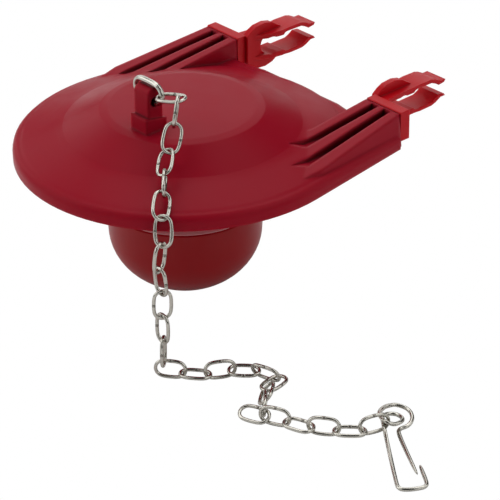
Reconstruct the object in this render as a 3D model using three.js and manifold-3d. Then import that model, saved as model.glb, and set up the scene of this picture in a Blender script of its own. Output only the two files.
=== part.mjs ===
// Toilet flapper with its float bowl, peg clips and lift chain.
// Millimetres, +Z up. The shapes are drawn in the disc's frame: x to the right along the hinge, y back
// towards the arms, z = 0 on the flat of the disc. The whole is then moved so that the origin lies
// midway between the two peg sockets, on the hinge axis.
import * as THREE from "three";
import { ConvexGeometry } from "three/addons/geometries/ConvexGeometry.js";
import { mergeVertices } from "three/addons/utils/BufferGeometryUtils.js";
import Module from "manifold-3d";

const wasm = await Module();
wasm.setup();

// Clearances between pieces
const seatGap = 0.3;
const linkGap = 0.2;

// Disc, the round sealing lid
const discRadius = 52;
const rimHeight = 4.8;
const rimRounding = 2.2;
const lipWidth = 3;
const sealThickness = 2.5;
const discSteps = 64;

// Dome on the disc
const domeFootRadius = 39;
const domeFootHeight = 3.2;
const plateauRadius = 25.2;
const plateauHeight = 9.8;
const crown = 0.5;
const domeWall = 2.8;

// Neck under the dome and the float bowl that it carries
const neckRadius = 20;
const neckWall = 2.6;
const ledgeDrop = 22;
const ledgeThickness = 1.8;
const neckLip = 1.4;
const bowlRadius = 24.2;
const bowlShoulder = 9;
const bowlDepth = 29;
const bowlWall = 1.6;
const bleedHoleRadius = 1.5;
const bowlSteps = 38;

// Arms, one on each side of the overflow pipe
const armCentre = discRadius - 15.1;
const armWidth = 14.4;
const armEnd = discRadius - 3.2;
const armTop = 6.1;
const armSpread = 4;
const edgeRib = 3.2;
const middleRib = 2.2;
const grooveFloor = 0.2;
const skirtSpread = discRadius - 6;
const backEdge = discRadius - 1.6;
const backEdgeHalf = 17;

// Chain lug, which stands off centre near the front of the plateau
const lug = { x: 4.7, y: -17.1, width: 6.3, length: 5.4, height: 14.4 };
const pedestal = { width: 7.2, length: 7.8, height: 5.3, slope: 1.6 };
const lugHole = { height: 9.9, radius: 1.6 };

// Peg clips
const collarThickness = 3.9;
const collarHeight = 9.7;
const collarBottom = -3.3;
const pegHeight = 1.2;
const pegBack = discRadius + 9.4;
const pegSocketRadius = 3.15;
const slotHalf = 3.4;
const lipHalf = 2;
const webCentre = armCentre - armWidth / 2;
const webThickness = 2.2;
const fingerWidth = 8;
const fingerTip = pegBack + 18.6;
const fingerThickness = 1.2;
const webRise = 3.1;
const tongue = { width: 8, height: 2, length: 9, middle: -2 };
const holeSides = 24;

// Chain, ring and hook
const linkWire = 1.1;
const linkLength = 10.5;
const linkWidth = 6.3;
const ringWire = 1.7;
const ringReach = { left: 5.6, right: 6.6 };
const hookWire = 1.2;
const hookLength = 30.3;
const hookHeading = -38;
const wireSides = 6;
const ringSides = 8;
const linkArcSteps = 5;

// Derived places
const surface = -(ledgeDrop + bowlDepth); // what the bowl's lowest point and the chain lie on
const lugTop = plateauHeight + lug.height;
const hingeAxis = new THREE.Vector3(0, pegBack, pegHeight);

const rubberRed = { color: 0x8c2632, roughness: 0.55, metalness: 0 };
const bowlRed = { color: 0x7a141c, roughness: 0.3, metalness: 0 };
const clipRed = { color: 0xae0f19, roughness: 0.35, metalness: 0 };
const steel = { color: 0xbebeb4, roughness: 0.3, metalness: 1 };

// Solids

// A closed geometry as a solid, with its faces turned outwards.
function solidOf(geometry) {
  const bare = geometry.index ? geometry.toNonIndexed() : geometry.clone();
  for (const name of Object.keys(bare.attributes))
    if (name !== "position") bare.deleteAttribute(name);
  const merged = mergeVertices(bare, 1e-4);
  const corners = merged.attributes.position.array;
  const faces = new Uint32Array(merged.index.array);
  const corner = (i) => new THREE.Vector3().fromArray(corners, 3 * faces[i]);
  let volume = 0;
  for (let i = 0; i < faces.length; i += 3) volume += corner(i).dot(corner(i + 1).cross(corner(i + 2)));
  if (volume < 0) faces.reverse();
  return new wasm.Manifold(new wasm.Mesh({ numProp: 3, vertProperties: corners, triVerts: faces }));
}

function geometryOf(solid) {
  const mesh = solid.getMesh();
  const geometry = new THREE.BufferGeometry();
  geometry.setAttribute("position", new THREE.BufferAttribute(mesh.vertProperties, 3));
  geometry.setIndex(new THREE.BufferAttribute(mesh.triVerts, 1));
  geometry.computeVertexNormals();
  return geometry;
}

const join = (...solids) => solids.reduce((whole, piece) => whole.add(piece));

function meshOf(name, shape, finish) {
  const geometry = shape.isBufferGeometry ? shape : geometryOf(shape);
  const mesh = new THREE.Mesh(geometry, new THREE.MeshStandardMaterial(finish));
  mesh.name = name;
  return mesh;
}

// A profile of [radius, height] points turned about the z axis.
function turned(profile, steps) {
  const points = profile.map(([radius, height]) => new THREE.Vector2(radius, height));
  return solidOf(new THREE.LatheGeometry(points, steps).rotateX(Math.PI / 2));
}

// Points of an arc in a profile, from one angle to the other in degrees.
function arc(centreA, centreB, radius, from, to, steps) {
  return Array.from({ length: steps + 1 }, (_, i) => {
    const angle = THREE.MathUtils.degToRad(from + ((to - from) * i) / steps);
    return [centreA + radius * Math.cos(angle), centreB + radius * Math.sin(angle)];
  });
}

// The corners of a circle in a profile.
const circle = (centreA, centreB, radius, sides) =>
  arc(centreA, centreB, radius, 0, 360 - 360 / sides, sides - 1);

const shapeOf = (points) => new THREE.Shape(points.map(([a, b]) => new THREE.Vector2(a, b)));

// A [x, y] outline raised from one height to another.
function raised(points, bottom, top) {
  const geometry = new THREE.ExtrudeGeometry(shapeOf(points), { depth: top - bottom, bevelEnabled: false });
  return solidOf(geometry.translate(0, 0, bottom));
}

// A [y, z] outline carried along x from one side to the other.
function across(points, from, to) {
  const geometry = new THREE.ExtrudeGeometry(shapeOf(points), { depth: to - from, bevelEnabled: false });
  const turn = new THREE.Matrix4().makeBasis(
    new THREE.Vector3(0, 1, 0),
    new THREE.Vector3(0, 0, 1),
    new THREE.Vector3(1, 0, 0),
  );
  return solidOf(geometry.applyMatrix4(turn).translate(from, 0, 0));
}

function hullOf(points) {
  return solidOf(new ConvexGeometry(points.map((p) => new THREE.Vector3(...p))));
}

const mirrored = (solid) => solid.mirror([1, 0, 0]);

// Rubber body

// Where the straight skirt that runs to an arm's end leaves the disc: the tangent point's angle.
const armCorner = [skirtSpread, armEnd - 1];
const cornerDistance = Math.hypot(...armCorner);
const tangentAngle =
  THREE.MathUtils.radToDeg(Math.atan2(armCorner[1], armCorner[0]) - Math.acos(discRadius / cornerDistance));

// The outline of the disc with its two skirts and the sheet between the arms, set in by a margin.
function lidOutline(inset, steps) {
  const front = arc(0, 0, discRadius - inset, 180 - tangentAngle, 360 + tangentAngle, steps);
  const innerArm = armCentre - armWidth / 2;
  const back = [
    [skirtSpread - inset, armEnd - 1 - inset],
    [skirtSpread - 1.4 - inset, armEnd - inset],
    [innerArm - 1.5, armEnd - inset],
    [innerArm - 5, armEnd + 0.2 - inset],
    [backEdgeHalf + 3, backEdge - 0.6 - inset],
    [backEdgeHalf, backEdge - inset],
  ];
  const left = back.map(([x, y]) => [-x, y]).reverse();
  return [...front, ...back, ...left];
}

// The plate under the dome: its upper edge is rounded, and its underside has a turned-down lip.
function lid() {
  const bevel = {
    depth: rimHeight,
    bevelEnabled: true,
    bevelThickness: rimRounding,
    bevelSize: rimRounding,
    bevelOffset: -rimRounding,
    bevelSegments: 3,
  };
  const rounded = new THREE.ExtrudeGeometry(shapeOf(lidOutline(0, discSteps - 16)), bevel);
  const block = solidOf(rounded.translate(0, 0, -rimHeight - rimRounding));
  const underside = raised(lidOutline(lipWidth, 44), -2 * rimHeight, -sealThickness);
  const below = raised(lidOutline(-rimHeight, 8), -4 * rimHeight, -rimHeight);
  return block.subtract(join(underside, below));
}

// The dome's outer line, from the axis to the disc, and its inner line the same way.
const domeLine = [
  [0, plateauHeight + crown],
  [plateauRadius * 0.5, plateauHeight + crown * 0.8],
  [plateauRadius - 2.6, plateauHeight + 0.12],
  [plateauRadius - 0.2, plateauHeight - 0.4],
  [plateauRadius + 2.4, plateauHeight - 1.45],
  [domeFootRadius - 3.4, domeFootHeight + 1.6],
  [domeFootRadius - 1.4, domeFootHeight + 0.7],
  [domeFootRadius + 1, domeFootHeight],
  [discRadius - 3, 0.4],
  [discRadius - rimRounding, 0],
];

// Dome and neck turned as one solid form, down to the bead that snaps under the bowl's ledge.
const neckFoot = -ledgeDrop - ledgeThickness - seatGap;

function dome() {
  return turned(
    [
      ...domeLine,
      [discRadius - rimRounding, -sealThickness],
      [neckRadius + 3, -sealThickness],
      [neckRadius + 0.6, -sealThickness - 2.5],
      [neckRadius, -ledgeDrop + seatGap],
      [neckRadius - neckLip, -ledgeDrop + seatGap],
      [neckRadius - neckLip, neckFoot],
      [neckRadius, neckFoot - 0.2],
      [neckRadius - neckLip, neckFoot - 2.4],
      [0, neckFoot - 2.4],
    ],
    discSteps,
  );
}

// The space inside dome and neck, open at the neck's foot.
function domeInside() {
  const neckInner = neckRadius - neckLip - neckWall;
  return turned(
    [
      [0, plateauHeight + crown - domeWall],
      [plateauRadius - 5, plateauHeight - domeWall],
      [plateauRadius - 3, plateauHeight - domeWall - 2],
      [neckInner + 2.5, -sealThickness],
      [neckInner, -sealThickness - 4],
      [neckInner, neckFoot - 4],
      [0, neckFoot - 4],
    ],
    44,
  );
}

// One arm: a wedge that grows out of the disc, with two grooves that deepen towards its end. Its outer
// side and the outer groove spread towards the front.
function arm() {
  const inner = armCentre - armWidth / 2;
  const outer = armCentre + armWidth / 2;
  const foot = -rimHeight + 0.4;
  const wedge = hullOf([
    [inner, 12, foot],
    [inner, 14, 2.8],
    [inner, armEnd, armTop],
    [inner, armEnd, foot],
    [outer + 1.2, armEnd, foot],
    [outer, armEnd, armTop],
    [outer + armSpread, 13, 1.9],
    [outer + armSpread + 0.6, 13, foot],
    [outer + armSpread - 1, 4, 0.6],
    [outer + armSpread - 1, 4, foot],
    [inner + 2, 6, 1],
    [inner + 2, 6, foot],
  ]);
  const grooveWidth = (armWidth - 2 * edgeRib - middleRib) / 2;
  const groove = (x, start, spread) => {
    const [[front, height], [shoulder, depth]] = start;
    const straight = across(
      [
        [front, height],
        [shoulder, depth],
        [armEnd - 0.8, grooveFloor],
        [armEnd - 0.4, armTop + 4],
        [front, armTop + 4],
      ],
      x,
      x + grooveWidth,
    );
    const skew = spread / armEnd;
    return straight.transform([1, 0, 0, 0, -skew, 1, 0, 0, 0, 0, 1, 0, spread, 0, 0, 1]);
  };
  const grooves = [
    groove(inner + edgeRib, [[13.2, 4.5], [19, 2.2]], 0.4),
    groove(outer - edgeRib - grooveWidth, [[6.6, 2.6], [14, 0.9]], armSpread - 0.4),
  ];
  const pocket = across(
    [
      [armEnd - tongue.length - seatGap, tongue.middle - tongue.height / 2 - seatGap],
      [armEnd + 1, tongue.middle - tongue.height / 2 - seatGap],
      [armEnd + 1, tongue.middle + tongue.height / 2 + seatGap],
      [armEnd - tongue.length - seatGap, tongue.middle + tongue.height / 2 + seatGap],
    ],
    armCentre - tongue.width / 2 - seatGap,
    armCentre + tongue.width / 2 + seatGap,
  );
  return { wedge, cuts: join(...grooves), pocket };
}

// The chain lug: a block with a rounded top on a wider pedestal, pierced from side to side.
function chainLug() {
  const roundTop = 0.75 * (lug.length / 2);
  const block = across(
    [
      [lug.y - lug.length / 2, plateauHeight],
      [lug.y + lug.length / 2, plateauHeight],
      ...arc(0, 0, 1, 0, 180, 8).map(([y, z]) => [
        lug.y + (y * lug.length) / 2,
        lugTop + (z - 1) * roundTop,
      ]),
    ],
    lug.x - lug.width / 2,
    lug.x + lug.width / 2,
  );
  const foot = across(
    [
      [lug.y - pedestal.length / 2, plateauHeight - 1],
      [lug.y + pedestal.length / 2, plateauHeight - 1],
      [lug.y + pedestal.length / 2, plateauHeight + pedestal.height - pedestal.slope],
      [lug.y - pedestal.length / 2, plateauHeight + pedestal.height],
    ],
    lug.x - pedestal.width / 2,
    lug.x + pedestal.width / 2,
  );
  const hole = across(
    circle(lug.y, plateauHeight + lugHole.height, lugHole.radius, holeSides),
    lug.x - lug.width,
    lug.x + lug.width,
  );
  return join(block, foot).subtract(hole);
}

function flapperBody() {
  const right = arm();
  const armsAndLid = join(lid(), dome(), right.wedge, mirrored(right.wedge));
  const cut = join(domeInside(), right.cuts, mirrored(right.cuts), right.pocket, mirrored(right.pocket));
  return meshOf("flapper_body", join(armsAndLid.subtract(cut), chainLug()), rubberRed);
}

// Float bowl: a deep round cup whose flat top ledge is gripped by the neck.
function floatBowl() {
  const holeRadius = neckRadius - neckLip + seatGap;
  const roundCentre = -ledgeDrop - bowlShoulder;
  const roundDepth = bowlDepth - bowlShoulder;
  const outside = arc(0, 0, 1, 0, -90, 9).map(([a, b]) => [bowlRadius * a, roundCentre + roundDepth * b]);
  const inside = arc(0, 0, 1, -90, 0, 5).map(([a, b]) => [
    (bowlRadius - bowlWall) * Math.abs(a),
    roundCentre + (roundDepth - bowlWall) * b,
  ]);
  outside[outside.length - 1][0] = 0;
  inside[0][0] = 0;
  const cup = turned(
    [
      [holeRadius, -ledgeDrop],
      [bowlRadius - 0.5, -ledgeDrop],
      [bowlRadius, -ledgeDrop - 0.5],
      ...outside,
      ...inside,
      [bowlRadius - bowlWall, -ledgeDrop - ledgeThickness],
      [holeRadius, -ledgeDrop - ledgeThickness],
      [holeRadius, -ledgeDrop],
    ].reverse(),
    bowlSteps,
  );
  const bleed = raised(circle(0, 0, bleedHoleRadius, holeSides / 2), surface - 1, surface + 2 * bowlWall);
  return meshOf("float_bowl", cup.subtract(bleed), bowlRed);
}

// Peg clip on the right arm: collar, tongue in the rubber, web with the peg socket, and two wavy
// fingers that snap over the peg.
function pegClip() {
  const inner = armCentre - armWidth / 2;
  const outer = armCentre + armWidth / 2;
  const front = armEnd + seatGap;
  const back = front + collarThickness;
  const top = collarBottom + collarHeight;
  const collar = across(
    [
      [front, collarBottom],
      [back, collarBottom],
      [back, top - 0.3],
      [back - 0.3, top],
      [front + 0.3, top],
      [front, top - 0.3],
    ],
    inner,
    outer + 0.3,
  );
  const key = across(
    [
      [armEnd - tongue.length, tongue.middle - tongue.height / 2 + 0.3],
      [front + 0.1, tongue.middle - tongue.height / 2],
      [front + 0.1, tongue.middle + tongue.height / 2],
      [armEnd - tongue.length, tongue.middle + tongue.height / 2 - 0.3],
    ],
    armCentre - tongue.width / 2,
    armCentre + tongue.width / 2,
  );
  const strip = slotHalf + fingerThickness;
  const lipBack = fingerTip - 3;
  const upperEdge = [
    [back - 0.5, strip - 0.2],
    [pegBack + 5, strip - 0.2],
    [pegBack + 7.5, strip],
    [fingerTip - 6, strip - 0.1],
    [fingerTip - 4.3, strip - 0.6],
    [fingerTip - 2, lipHalf + 0.8],
    [fingerTip, lipHalf + 0.8],
  ];
  const lowerEdge = [
    [fingerTip - 0.6, lipHalf],
    [lipBack, lipHalf - 0.3],
    [lipBack - 1.6, slotHalf - 0.7],
    [lipBack - 3.2, slotHalf],
    [pegBack + 6, slotHalf + 0.1],
    [pegBack + 5.2, slotHalf - 0.1],
    [pegBack + 4.6, slotHalf - 0.7],
    [pegBack + 2.5, slotHalf - 0.7],
    [back - 0.5, slotHalf - 0.2],
  ];
  const finger = [...upperEdge, ...lowerEdge];
  const plan = raised(
    [
      [webCentre - webThickness / 2, back - 1],
      [webCentre + fingerWidth / 2 + 0.9, back - 1],
      [webCentre + fingerWidth / 2, back + 6],
      [webCentre + fingerWidth / 2, fingerTip + 1],
      [webCentre - fingerWidth / 2, fingerTip + 1],
      [webCentre - fingerWidth / 2, back + 12],
      [webCentre - fingerWidth / 2 + 0.7, back + 8],
      [webCentre - webThickness / 2, back + 2.5],
    ],
    -20,
    20,
  );
  const lifted = (points, side) => points.map(([y, z]) => [y, pegHeight + side * z]);
  const fingers = [1, -1].map((side) => {
    const outline = lifted(finger, side);
    return across(side > 0 ? outline.reverse() : outline, webCentre - fingerWidth, webCentre + fingerWidth);
  });
  const crest = slotHalf + fingerThickness + webRise;
  const webLine = [
    [back - 0.5, strip + 0.4],
    [back + 1.4, crest - 1.3],
    [back + 3.6, crest - 0.3],
    [pegBack - 1, crest],
    [pegBack + 2, crest - 0.7],
    [pegBack + 4.8, strip + 0.6],
    [pegBack + 6.6, strip - 0.4],
  ];
  const web = across(
    [...lifted(webLine, -1), ...lifted(webLine, 1).reverse()],
    webCentre - webThickness / 2,
    webCentre + webThickness / 2,
  );
  const socket = across(
    circle(pegBack, pegHeight, pegSocketRadius, holeSides),
    webCentre - fingerWidth,
    webCentre + fingerWidth,
  );
  const throat = lifted([...lowerEdge.slice(0, 8), [pegBack, slotHalf - 0.7]], 1);
  const throatBelow = lifted([...lowerEdge.slice(0, 8), [pegBack, slotHalf - 0.7]], -1);
  const mouth = across([...throatBelow, ...throat.reverse()], webCentre - fingerWidth, webCentre + fingerWidth);
  const gripped = join(...fingers.map((f) => f.intersect(plan)), web);
  return join(gripped.subtract(join(socket, mouth)), collar, key);
}

// Wire pieces

// The middle line of a chain link, lying in the xy plane with its long way along x. Its steps fall on
// the round ends only.
class LinkLoop extends THREE.Curve {
  constructor(halfLength, halfWidth, arcSteps) {
    super();
    this.reach = halfLength - halfWidth;
    this.radius = halfWidth;
    this.arcSteps = arcSteps;
  }

  angleAt(t) {
    const step = (t % 1) * 2 * (this.arcSteps + 1);
    const side = Math.floor(step / (this.arcSteps + 1) + 1e-9);
    const along = Math.min(step - side * (this.arcSteps + 1), this.arcSteps);
    return { side, angle: -Math.PI / 2 + side * Math.PI + (Math.PI * along) / this.arcSteps };
  }

  getPoint(t, target = new THREE.Vector3()) {
    const { side, angle } = this.angleAt(t);
    const shift = side === 0 ? this.reach : -this.reach;
    return target.set(shift + this.radius * Math.cos(angle), this.radius * Math.sin(angle), 0);
  }

  getTangent(t, target = new THREE.Vector3()) {
    const { angle } = this.angleAt(t);
    return target.set(-Math.sin(angle), Math.cos(angle), 0);
  }

  getPointAt(t, target) {
    return this.getPoint(t, target);
  }

  getTangentAt(t, target) {
    return this.getTangent(t, target);
  }
}

function closedWire(loop, steps, wire, sides) {
  return solidOf(new THREE.TubeGeometry(loop, steps, wire / 2, sides, true));
}

// The ring through the lug: straight where it lies in the hole, pulled to the chain's side, and arched
// over the lug's top.
const ringBottom = plateauHeight + lugHole.height - lugHole.radius + ringWire / 2 + 2 * seatGap;
const ringRise = lugTop + ringWire / 2 + 2 * seatGap - ringBottom;

function lugRing() {
  const sideOf = (reach, sign) => [
    [sign * (reach - 2.2), 0, 0],
    [sign * reach, 0, 0.4 * ringRise],
    [sign * 0.78 * reach, 0, 0.87 * ringRise],
  ];
  const right = sideOf(ringReach.right, 1);
  const left = sideOf(ringReach.left, -1).reverse();
  const points = [[0, 0, 0], ...right, [0, 0, ringRise], ...left].map(
    ([x, y, z]) => new THREE.Vector3(lug.x + x, lug.y + y, ringBottom + z),
  );
  const loop = new THREE.CatmullRomCurve3(points, true, "centripetal");
  return closedWire(loop, 27, ringWire, ringSides);
}

// The chain's way: out from the ring, down beside the lug, then straight out over the dome and the
// disc's edge at one bearing, and down to the surface.
const bearing = THREE.MathUtils.degToRad(-47.9);
const outward = (radius, height) => [radius * Math.cos(bearing), radius * Math.sin(bearing), height];
const ringSide = [lug.x + ringReach.right, lug.y - 0.2, ringBottom + 0.47 * ringRise];
const overEdge = linkWidth / 2 + 2 * seatGap;
const beyondEdge = discRadius + 4.8;
const route = new THREE.CatmullRomCurve3(
  [
    ringSide,
    [ringSide[0] + 9.2, ringSide[1] + 3.2, ringSide[2] + 1],
    [ringSide[0] + 8.6, ringSide[1] + 0.6, plateauHeight + 6.2],
    outward(plateauRadius + 5.2, plateauHeight + 1.4),
    outward(domeFootRadius, domeFootHeight + overEdge + 0.4),
    outward(discRadius - 5.2, overEdge + 1.8),
    outward(discRadius + 1.4, 3.2),
    outward(beyondEdge, -2.5),
    outward(beyondEdge, surface + 31),
    outward(beyondEdge - 0.6, surface + 13),
    outward(beyondEdge + 0.6, surface + 2),
  ].map((point) => new THREE.Vector3(...point)),
  false,
  "centripetal",
);
const routeSteps = 2000;

// How far each hanging link is turned about its length, in degrees; at 0 it faces outwards.
const hangingTurns = [113, 90, -12, 36, 90, -28, 16, -62, 50, -14, 46, -84];

// The links on the surface: which way each one points and how far it leans over, in degrees. One lies
// folded back, so the next one bears on the same end of it.
const restingLinks = [
  [37, 84],
  [39, -4],
  [60, 84],
  [44, 4],
  [16, -70],
  [-80, 4],
  [-51, 46],
  [-44, 84],
  [201, -20],
  [25, 84, "same end"],
  [18, 0],
  [36, 84],
  [45, -4],
  [72, 84],
];

// Where on the middle line of a link's round end a neighbour that pulls a given way lies.
function bendPoint(pose, end, pull) {
  const along = new THREE.Vector3().setFromMatrixColumn(pose, 0);
  const side = new THREE.Vector3().setFromMatrixColumn(pose, 1);
  const outward = along.clone().multiplyScalar(Math.max(along.dot(pull) * end, 0) * end);
  outward.addScaledVector(side, side.dot(pull));
  outward.addScaledVector(along, end * (1 - outward.length())).normalize();
  const roundCentre = new THREE.Vector3((end * (linkLength - linkWidth)) / 2, 0, 0).applyMatrix4(pose);
  return { point: roundCentre.addScaledVector(outward, (linkWidth - linkWire) / 2), outward };
}

// The chain, laid link by link: each one bears on the end of the one before and is drawn back until it
// clears that one and the one before it.
function layChain(ring) {
  const loop = new LinkLoop((linkLength - linkWire) / 2, (linkWidth - linkWire) / 2, linkArcSteps);
  const link = closedWire(loop, 2 * (linkArcSteps + 1), linkWire, wireSides);
  const samples = route.getPoints(routeSteps);
  const aheadOf = (start) => {
    const distances = samples.map((point) => point.distanceTo(start));
    const nearest = distances.indexOf(Math.min(...distances));
    const ahead = samples.find((_, i) => i > nearest && distances[i] > linkLength - linkWire);
    return (ahead ?? samples[routeSteps]).clone().sub(start).normalize();
  };
  const meshes = [];
  const laid = [ring];
  let pose;
  let along = samples[1].clone().sub(samples[0]).normalize();
  for (let i = 0; i < hangingTurns.length + restingLinks.length; i += 1) {
    const resting = restingLinks[i - hangingTurns.length];
    const end = resting?.[2] ? -1 : 1;
    const last = along.multiplyScalar(end);
    const next = resting ? pointing(resting[0]) : aheadOf(pose ? bendPoint(pose, 1, last).point : samples[0]);
    const held = pose ? bendPoint(pose, end, next) : { point: samples[0] };
    const free = linkPose(new THREE.Vector3(), next, resting, hangingTurns[i]);
    const holding = bendPoint(free, -1, last.clone().negate());
    const apart = resting ? held.outward.clone().sub(holding.outward) : last.clone().add(next);
    apart.normalize();
    const near = join(...laid.slice(-2));
    for (let overlap = linkWire + linkGap; overlap < linkWidth; overlap += linkWire / 8) {
      const centre = held.point.clone().addScaledVector(apart, -overlap).sub(holding.point);
      pose = linkPose(centre, next, resting, hangingTurns[i]);
      if (link.transform(pose.elements).minGap(near, linkWire) > 0.8 * linkGap) break;
    }
    along = next;
    laid.push(link.transform(pose.elements));
    const mesh = meshOf("chain_link_" + String(i + 1).padStart(2, "0"), link, steel);
    mesh.applyMatrix4(pose);
    meshes.push(mesh);
  }
  return { meshes, end: bendPoint(pose, 1, along).point };
}

const pointing = (degrees) =>
  new THREE.Vector3(Math.cos(THREE.MathUtils.degToRad(degrees)), Math.sin(THREE.MathUtils.degToRad(degrees)), 0);

// A link's place: on the surface its lean sets how high its middle lies.
function linkPose(centre, along, resting, turn) {
  const facing = resting ? new THREE.Vector3(0, 0, 1) : new THREE.Vector3(1, -1, 0.6);
  const normal = facing.addScaledVector(along, -facing.dot(along)).normalize();
  normal.applyAxisAngle(along, THREE.MathUtils.degToRad(resting ? resting[1] : turn));
  const side = normal.clone().cross(along);
  const lean = ((linkWidth - linkWire) / 2) * Math.abs(side.z) + linkWire / 2;
  if (resting) centre.z = surface + Math.max(lean, 1.5 * linkWire + 2 * linkGap);
  return new THREE.Matrix4().makeBasis(along, side, normal).setPosition(centre);
}

// A smooth curve through points that spends its steps evenly on the points and not on the length.
class PointedCurve extends THREE.CatmullRomCurve3 {
  getPointAt(t, target) {
    return this.getPoint(t, target);
  }

  getTangentAt(t, target) {
    return this.getTangent(t, target);
  }
}

// The bent-wire hook at the chain's end: catch, bar, leg, an eye of two turns, and the free leg that
// springs against the catch. Places are [along the hook, across it, height above where it lies], measured
// from where the last link ends.
function chainHook({ end }) {
  const places = [
    [hookLength - 11.6, 6.2, 0],
    [hookLength - 6.0, 6.7, 0],
    [hookLength - 1.6, 6.9, 0],
    [hookLength - 0.2, 5.2, 0],
    [hookLength, -0.2, 0],
    [hookLength - 2.2, -1.4, 0],
    [hookLength / 2, -1.4, 0],
    [5.1, -1.5, 0.3],
    [1.1, -1.6, 1.7],
    [-3.1, -1.5, 1.5],
    [-5.4, 0.3, 1.0],
    [-5.2, 2.9, 0.8],
    [-2.6, 4.3, 1.0],
    [0.2, 3.3, 1.7],
    [1.8, 1.2, 2.2],
    [1.9, -0.6, 2.9],
    [0.8, -1.8, 3.2],
    [-3.4, -2.4, 3.0],
    [-6.9, -0.2, 2.6],
    [-8.2, 3.2, 2.1],
    [-6.4, 6.5, 1.4],
    [-2.6, 7.1, 0.9],
    [0.4, 5.4, 0.4],
    [1.0, 3.3, 0.1],
    [2.6, 2.4, 0],
    [11.0, 3.1, 0],
    [hookLength - 4.8, 5.2, 0],
  ];
  const along = pointing(hookHeading);
  const across = pointing(hookHeading + 90);
  const points = places.map(([a, b, height]) => {
    const point = new THREE.Vector3(end.x, end.y, surface + hookWire / 2 + height);
    return point.addScaledVector(along, a).addScaledVector(across, b);
  });
  const section = shapeOf(circle(0, 0, hookWire / 2, wireSides));
  const path = new PointedCurve(points, false, "centripetal");
  const steps = 3 * (points.length - 1);
  return solidOf(new THREE.ExtrudeGeometry(section, { steps, extrudePath: path, bevelEnabled: false }));
}

// Assembly

const flapper = new THREE.Group();
const inDiscFrame = new THREE.Group();
inDiscFrame.position.copy(hingeAxis).negate();
flapper.add(inDiscFrame);

const clip = pegClip();
const ring = lugRing();
const chain = layChain(ring);
inDiscFrame.add(
  flapperBody(),
  floatBowl(),
  meshOf("peg_clip_right", clip, clipRed),
  meshOf("peg_clip_left", mirrored(clip), clipRed),
  meshOf("lug_ring", ring, steel),
  ...chain.meshes,
  meshOf("chain_hook", chainHook(chain), steel),
);

export default flapper;
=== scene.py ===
"""Dresses the toilet flapper in rubber, plastic and steel, and sets camera and light."""
import math

import bpy
import numpy as np
from mathutils import Matrix, Vector


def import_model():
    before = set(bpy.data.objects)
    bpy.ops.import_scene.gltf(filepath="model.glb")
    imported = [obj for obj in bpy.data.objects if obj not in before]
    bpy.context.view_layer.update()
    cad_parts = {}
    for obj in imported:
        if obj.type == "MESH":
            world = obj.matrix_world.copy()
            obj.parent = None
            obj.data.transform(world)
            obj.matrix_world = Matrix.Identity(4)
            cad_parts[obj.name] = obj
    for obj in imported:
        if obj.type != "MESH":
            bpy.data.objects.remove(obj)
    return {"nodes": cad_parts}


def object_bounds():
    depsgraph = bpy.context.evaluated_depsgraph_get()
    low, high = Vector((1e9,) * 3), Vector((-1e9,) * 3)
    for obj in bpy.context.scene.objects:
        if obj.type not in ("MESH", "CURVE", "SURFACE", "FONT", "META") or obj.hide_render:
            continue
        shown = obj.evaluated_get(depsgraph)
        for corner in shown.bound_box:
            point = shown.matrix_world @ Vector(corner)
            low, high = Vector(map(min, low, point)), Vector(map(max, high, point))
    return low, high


MM = 0.001

# Camera, measured in millimetres in the disc's frame, whose zero is the middle of its flat face
HINGE = Vector((0, 61.4, 1.2))
AZIMUTH = math.radians(48.05)
ELEVATION = math.radians(29.82)
ROLL = math.radians(-0.65)
DISTANCE = 728.1
FOCAL_PIXELS = 2389.2
DISC_PIXEL = (183.1, 134.4)
IMAGE_PIXELS = 500
SENSOR = 36
CLIP_START = 0.05

# Level directions as the camera sees them
ACROSS = Vector((math.cos(AZIMUTH), math.sin(AZIMUTH), 0))
AWAY = Vector((-math.sin(AZIMUTH), math.cos(AZIMUTH), 0))

# The bowl's flat ledge lies just above this height in the part's frame
LEDGE_HEIGHT = -23.3 * MM

# The dome's flank: its inner and outer radius, and how much deeper it is shaded
FLANK_INNER = 25.2 * MM
FLANK_OUTER = 36.5 * MM
FLANK_DEPTH = 1.4 * MM

# How deep the fine grain of rubber and plastic is
GRAIN_DEPTH = 0.2 * MM

# Open share of the surroundings below which the painted shade in a hollow is at its darkest, and
# above which no shade is painted
HOLLOW_DARK = 0.3
HOLLOW_LIT = 0.6

# A link's butt weld: how far it reaches along the wire in full and at most, how far off the
# link's middle line its side lies, and its height
WELD_CORE = 0.3 * MM
WELD_END = 0.6 * MM
WELD_ASIDE = 0.5 * MM
WELD_HEIGHT = 0.15 * MM

# How far the skin of each rounded wire is moved out to keep its thickness
WIRE_GROWTH = {"lug_ring": 0.083 * MM, "chain_hook": 0.1 * MM, "chain_link": 0.09 * MM}

# Edges bent more than this, in degrees, stay sharp
SHARP_ANGLE = {"flapper_body": 9, "float_bowl": 32, "peg_clip": 32}

# A tent of soft square lamps: metres to the right, away from the camera and up, then watts
LAMPS = {
    "top_left": (-0.95, 0.0, 1.65, 7.5),
    "top_right": (0.95, 0.0, 1.65, 7.5),
    "top_back": (0.0, 0.95, 1.65, 9.5),
    "left": (-1.75, 0.0, 0.7, 8.5),
    "back_left": (-1.2, 1.2, 0.75, 6.0),
    "back": (0.0, 1.75, 0.7, 5.0),
    "right": (1.75, 0.0, 0.7, 5.0),
    "front_right": (1.15, -1.2, 0.85, 5.0),
    "front_left": (-1.2, -1.2, 0.6, 3.0),
}
LAMP_WIDTH = 1.2
LAMP_TARGET = Vector((0.0, -0.06, -0.01))

# A faint light from all round, and a pale floor, of this half width in metres
SKY_STRENGTH = 0.05
FLOOR_BRIGHTNESS = 0.95
FLOOR_HALF = 4.0

WHITE = (1.0, 1.0, 1.0, 1.0)


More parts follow.
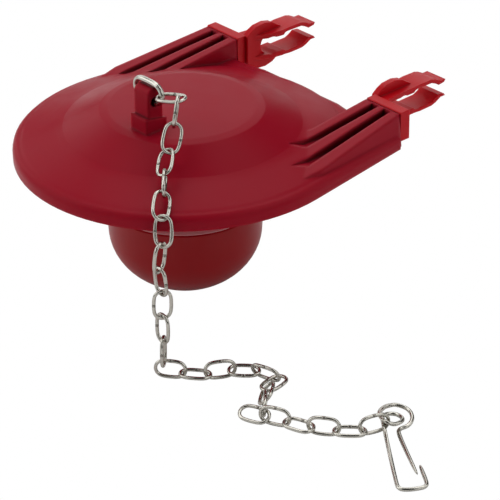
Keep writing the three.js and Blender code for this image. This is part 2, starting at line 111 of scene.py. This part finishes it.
def srgb(red, green, blue):
    """A linear colour from the 0 to 255 values of a picture."""
    linear = (((value / 255 + 0.055) / 1.055) ** 2.4 for value in (red, green, blue))
    return (*linear, 1.0)


def grey(value):
    return (value, value, value, 1.0)


def make_camera():
    back = Vector((0, 0, math.sin(ELEVATION))) - AWAY * math.cos(ELEVATION)
    upright = back.cross(ACROSS)
    right = ACROSS * math.cos(ROLL) + upright * math.sin(ROLL)
    up = upright * math.cos(ROLL) - ACROSS * math.sin(ROLL)
    half = IMAGE_PIXELS / 2
    aside = (DISC_PIXEL[0] - half) / FOCAL_PIXELS * DISTANCE
    below = (DISC_PIXEL[1] - half) / FOCAL_PIXELS * DISTANCE
    place = back * DISTANCE - right * aside + up * below
    camera = bpy.data.objects.new("camera", bpy.data.cameras.new("camera"))
    turn = Matrix((right, up, back)).transposed().to_4x4()
    camera.matrix_world = Matrix.Translation((place - HINGE) * MM) @ turn
    camera.data.sensor_width = SENSOR
    camera.data.lens = FOCAL_PIXELS / IMAGE_PIXELS * SENSOR
    camera.data.clip_start = CLIP_START
    bpy.context.scene.collection.objects.link(camera)
    bpy.context.scene.camera = camera


# Shader nodes


def fill(node, **sockets):
    """Puts values on a node's sockets, whose names have spaces for underscores."""
    for name, value in sockets.items():
        node.inputs[name.replace("_", " ")].default_value = value


def add(tree, kind, **sockets):
    node = tree.nodes.new(kind)
    fill(node, **sockets)
    return node


def calculated(tree, operation, first, second=0.0):
    node = tree.nodes.new("ShaderNodeMath")
    node.operation = operation
    tree.links.new(first, node.inputs[0])
    if isinstance(second, float):
        node.inputs[1].default_value = second
    else:
        tree.links.new(second, node.inputs[1])
    return node.outputs[0]


def ranged(tree, value, low, high, at_low, at_high):
    """A number that runs from one value to another while the given one goes from low to high."""
    node = add(
        tree, "ShaderNodeMapRange", From_Min=low, From_Max=high, To_Min=at_low, To_Max=at_high
    )
    tree.links.new(value, node.inputs["Value"])
    return node.outputs[0]


def mixed(tree, share, first, second):
    """A colour between two others."""
    node = tree.nodes.new("ShaderNodeMix")
    node.data_type = "RGBA"
    fill(node, A=first, B=second)
    tree.links.new(share, node.inputs["Factor"])
    return node.outputs["Result"]


def split_up(tree, vector):
    node = tree.nodes.new("ShaderNodeSeparateXYZ")
    tree.links.new(vector, node.inputs[0])
    return node.outputs


def new_material(name):
    material = bpy.data.materials.new(name)
    material.use_nodes = True
    tree = material.node_tree
    return material, tree, tree.nodes["Principled BSDF"]


def grained(tree, shader, grain, strength):
    """Lays a fine grain on the surface."""
    coordinates = tree.nodes.new("ShaderNodeTexCoord")
    noise = add(tree, "ShaderNodeTexNoise", Scale=grain, Detail=3.0)
    bump = add(tree, "ShaderNodeBump", Strength=strength, Distance=GRAIN_DEPTH)
    tree.links.new(coordinates.outputs["Object"], noise.inputs["Vector"])
    tree.links.new(noise.outputs["Fac"], bump.inputs["Height"])
    tree.links.new(bump.outputs["Normal"], shader.inputs["Normal"])
    return coordinates, bump


def uneven_gloss(tree, shader, coordinates, smoothest, roughest, scale):
    """Varies the roughness softly over the surface."""
    noise = add(tree, "ShaderNodeTexNoise", Scale=scale, Detail=4.0, Roughness=0.6)
    ramp = tree.nodes.new("ShaderNodeValToRGB")
    first, last = ramp.color_ramp.elements
    first.position, last.position = 0.35, 0.65
    first.color, last.color = grey(smoothest), grey(roughest)
    tree.links.new(coordinates.outputs["Object"], noise.inputs["Vector"])
    tree.links.new(noise.outputs["Fac"], ramp.inputs["Fac"])
    tree.links.new(ramp.outputs["Color"], shader.inputs["Roughness"])


def glowing(shader, share, depth):
    """Lets red light through thin edges, to a depth in millimetres."""
    red, others = depth * MM, 0.15 * depth * MM
    fill(
        shader,
        Subsurface_Weight=share,
        Subsurface_Radius=(red, others, others),
        Subsurface_Scale=1.0,
    )


def soft_edges(tree, bump, radius):
    """Rounds the look of the edges, to a radius in millimetres."""
    bevel = add(tree, "ShaderNodeBevel", Radius=radius * MM)
    bevel.samples = 6
    tree.links.new(bevel.outputs["Normal"], bump.inputs["Normal"])
    return bevel


def folded_flank(tree, bump, bevel):
    """Shades the dome's flank as a slope with a soft fold above and below it."""
    place = tree.nodes.new("ShaderNodeNewGeometry")
    level = tree.nodes.new("ShaderNodeVectorMath")
    level.operation = "MULTIPLY"
    level.inputs[1].default_value = (1, 1, 0)
    radius = tree.nodes.new("ShaderNodeVectorMath")
    radius.operation = "DISTANCE"
    radius.inputs[1].default_value = (0, -HINGE.y * MM, 0)
    tree.links.new(place.outputs["Position"], level.inputs[0])
    tree.links.new(level.outputs[0], radius.inputs[0])
    height = ranged(tree, radius.outputs["Value"], FLANK_INNER, FLANK_OUTER, 1.0, 0.0)
    fold = add(tree, "ShaderNodeBump", Strength=1.0, Distance=FLANK_DEPTH)
    tree.links.new(height, fold.inputs["Height"])
    tree.links.new(bevel.outputs["Normal"], fold.inputs["Normal"])
    tree.links.new(fold.outputs["Normal"], bump.inputs["Normal"])


def painted_hollow_shade(tree, shader, colour, reach):
    """Paints shade into the colour in deep grooves and holes, which reach that many millimetres.
    """
    hollow = add(tree, "ShaderNodeAmbientOcclusion", Distance=reach * MM)
    hollow.samples = 8
    open_share = ranged(tree, hollow.outputs["AO"], HOLLOW_DARK, HOLLOW_LIT, 0.0, 1.0)
    # The dark red is painted shade, mixed into the colour where little of the surroundings is
    # open
    tint = mixed(tree, open_share, srgb(66, 0, 6), colour)
    tree.links.new(tint, shader.inputs["Base Color"])


# Materials


def rubber():
    material, tree, shader = new_material("rubber")
    fill(shader, Specular_IOR_Level=0.065)
    glowing(shader, share=0.3, depth=3.0)
    coordinates, bump = grained(tree, shader, grain=900.0, strength=0.05)
    folded_flank(tree, bump, soft_edges(tree, bump, radius=1.5))
    painted_hollow_shade(tree, shader, srgb(149, 14, 34), reach=7.0)
    uneven_gloss(tree, shader, coordinates, smoothest=0.3, roughest=0.38, scale=90.0)
    return material


def bowl_plastic():
    """Glossy plastic, and paler on the flat ledge at the bowl's top, partly the ledge's own paler
    tone and partly a painted reflection that lights it where the disc shades it.
    """
    material, tree, shader = new_material("bowl_plastic")
    fill(shader, Specular_IOR_Level=0.2)
    glowing(shader, share=0.15, depth=4.0)
    coordinates, _ = grained(tree, shader, grain=700.0, strength=0.01)
    uneven_gloss(tree, shader, coordinates, smoothest=0.28, roughest=0.3, scale=70.0)
    place = tree.nodes.new("ShaderNodeNewGeometry")
    height = split_up(tree, place.outputs["Position"])[2]
    # The pale colour on the ledge is partly its own tone and partly a painted reflection of the
    # white surroundings
    ledge = calculated(tree, "GREATER_THAN", height, LEDGE_HEIGHT)
    tint = mixed(tree, ledge, srgb(147, 14, 20), srgb(250, 205, 208))
    tree.links.new(tint, shader.inputs["Base Color"])
    return material


def clip_plastic():
    material, tree, shader = new_material("clip_plastic")
    fill(shader, Specular_IOR_Level=0.13)
    glowing(shader, share=0.35, depth=2.0)
    coordinates, bump = grained(tree, shader, grain=800.0, strength=0.03)
    soft_edges(tree, bump, radius=0.5)
    painted_hollow_shade(tree, shader, srgb(182, 6, 21), reach=1.5)
    uneven_gloss(tree, shader, coordinates, smoothest=0.3, roughest=0.4, scale=120.0)
    return material


def weld_share(tree):
    """How much a spot belongs to the butt weld in the middle of a link's one long side."""
    place = tree.nodes.new("ShaderNodeAttribute")
    place.attribute_name = "wire_place"
    along, aside, _ = split_up(tree, place.outputs["Vector"])
    far = calculated(tree, "ABSOLUTE", along)
    near_middle = ranged(tree, far, WELD_CORE, WELD_END, 1.0, 0.0)
    one_side = calculated(tree, "GREATER_THAN", aside, WELD_ASIDE)
    return calculated(tree, "MULTIPLY", near_middle, one_side)


def steel_wire():
    material, tree, shader = new_material("steel_wire")
    fill(shader, Metallic=1.0, Roughness=0.2)
    weld = weld_share(tree)
    tint = mixed(tree, weld, srgb(190, 187, 178), srgb(136, 132, 124))
    bead = add(tree, "ShaderNodeBump", Strength=0.6, Distance=WELD_HEIGHT)
    tree.links.new(tint, shader.inputs["Base Color"])
    tree.links.new(weld, bead.inputs["Height"])
    tree.links.new(bead.outputs["Normal"], shader.inputs["Normal"])
    return material


# Surfaces


def modify(piece, name, kind, **settings):
    modifier = piece.modifiers.new(name, kind)
    for setting, value in settings.items():
        setattr(modifier, setting, value)


def smooth_over(piece):
    """Joins the loose triangles, so that the shading runs on from one to the next."""
    mesh = piece.data
    normals = mesh.attributes.get("custom_normal")
    if normals:
        mesh.attributes.remove(normals)
    mesh.polygons.foreach_set("use_smooth", [True] * len(mesh.polygons))
    mesh.edges.foreach_set("use_edge_sharp", [False] * len(mesh.edges))
    modify(piece, "weld", "WELD", merge_threshold=0.001 * MM)


def rounded(piece, flat, levels):
    """Joins faces that are bent by fewer degrees than flat, and rounds the form over them."""
    angle = math.radians(flat)
    modify(piece, "quads", "DECIMATE", decimate_type="DISSOLVE", angle_limit=angle)
    modify(piece, "round", "SUBSURF", levels=levels, render_levels=levels)


def round_wire(piece, growth):
    """Turns a faceted wire into a round one of the same thickness."""
    rounded(piece, flat=6, levels=2)
    modify(piece, "thickness", "DISPLACE", mid_level=0.0, strength=growth)


def note_places(piece):
    """Keeps with each corner of a link how far it lies along, across and out of the link."""
    corners = np.empty(3 * len(piece.data.vertices))
    piece.data.vertices.foreach_get("co", corners)
    corners = corners.reshape(-1, 3)
    corners -= (corners.max(axis=0) + corners.min(axis=0)) / 2
    axes = np.linalg.svd(corners, full_matrices=False)[2]
    places = piece.data.attributes.new("wire_place", "FLOAT_VECTOR", "POINT")
    places.data.foreach_set("vector", (corners @ axes.T).ravel())


def dress(nodes):
    finishes = {
        "flapper_body": rubber(),
        "float_bowl": bowl_plastic(),
        "peg_clip": clip_plastic(),
        "lug_ring": steel_wire(),
    }
    finishes["chain_hook"] = finishes["chain_link"] = finishes["lug_ring"]
    for name, piece in nodes.items():
        kind = next(k for k in finishes if name.startswith(k))
        piece.data.materials.clear()
        piece.data.materials.append(finishes[kind])
        smooth_over(piece)
        if kind in WIRE_GROWTH:
            round_wire(piece, WIRE_GROWTH[kind])
        else:
            angle = math.radians(SHARP_ANGLE[kind])
            modify(piece, "split", "EDGE_SPLIT", split_angle=angle)
        if kind == "float_bowl":
            rounded(piece, flat=2, levels=1)
        if kind == "chain_link":
            note_places(piece)


# Studio


def shown_apart(tree, seen, other, surface):
    """Gives the camera one shader and everything else the other one."""
    path = tree.nodes.new("ShaderNodeLightPath")
    mix = tree.nodes.new("ShaderNodeMixShader")
    tree.links.new(path.outputs["Is Camera Ray"], mix.inputs[0])
    tree.links.new(other.outputs[0], mix.inputs[1])
    tree.links.new(seen.outputs[0], mix.inputs[2])
    tree.links.new(mix.outputs[0], surface)


def floor_material():
    """White where the camera sees it, and a pale ground to everything else."""
    material = bpy.data.materials.new("floor")
    material.use_nodes = True
    tree = material.node_tree
    tree.nodes.clear()
    output = tree.nodes.new("ShaderNodeOutputMaterial")
    seen = add(tree, "ShaderNodeEmission", Color=WHITE, Strength=1.0)
    lit = add(tree, "ShaderNodeBsdfDiffuse", Color=grey(FLOOR_BRIGHTNESS))
    shown_apart(tree, seen, lit, output.inputs["Surface"])
    return material


def make_floor(height):
    mesh = bpy.data.meshes.new("floor")
    corners = [
        (x * FLOOR_HALF, y * FLOOR_HALF, height) for x, y in ((-1, -1), (1, -1), (1, 1), (-1, 1))
    ]
    mesh.from_pydata(corners, [], [(0, 1, 2, 3)])
    mesh.materials.append(floor_material())
    floor = bpy.data.objects.new("floor", mesh)
    bpy.context.scene.collection.objects.link(floor)


def make_world():
    """White where the camera sees it, and a faint even light to everything else."""
    world = bpy.data.worlds.new("studio")
    world.use_nodes = True
    tree = world.node_tree
    background = tree.nodes["Background"]
    fill(background, Color=WHITE, Strength=SKY_STRENGTH)
    seen = add(tree, "ShaderNodeBackground", Color=WHITE, Strength=1.0)
    shown_apart(tree, seen, background, tree.nodes["World Output"].inputs["Surface"])
    bpy.context.scene.world = world


def make_lights():
    for name, (right, back, high, power) in LAMPS.items():
        place = ACROSS * right + AWAY * back + Vector((0, 0, high))
        data = bpy.data.lights.new(name, "AREA")
        data.shape = "SQUARE"
        data.size = LAMP_WIDTH
        data.energy = power
        light = bpy.data.objects.new(name, data)
        light.location = place
        light.rotation_euler = (LAMP_TARGET - place).to_track_quat("-Z", "Y").to_euler()
        bpy.context.scene.collection.objects.link(light)


def main():
    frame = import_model()
    cad_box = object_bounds()
    scene = bpy.context.scene
    scene.view_settings.view_transform = "Standard"
    scene.view_settings.look = "None"
    make_camera()
    dress(frame["nodes"])
    make_floor(cad_box[0][2])
    make_world()
    make_lights()


main()
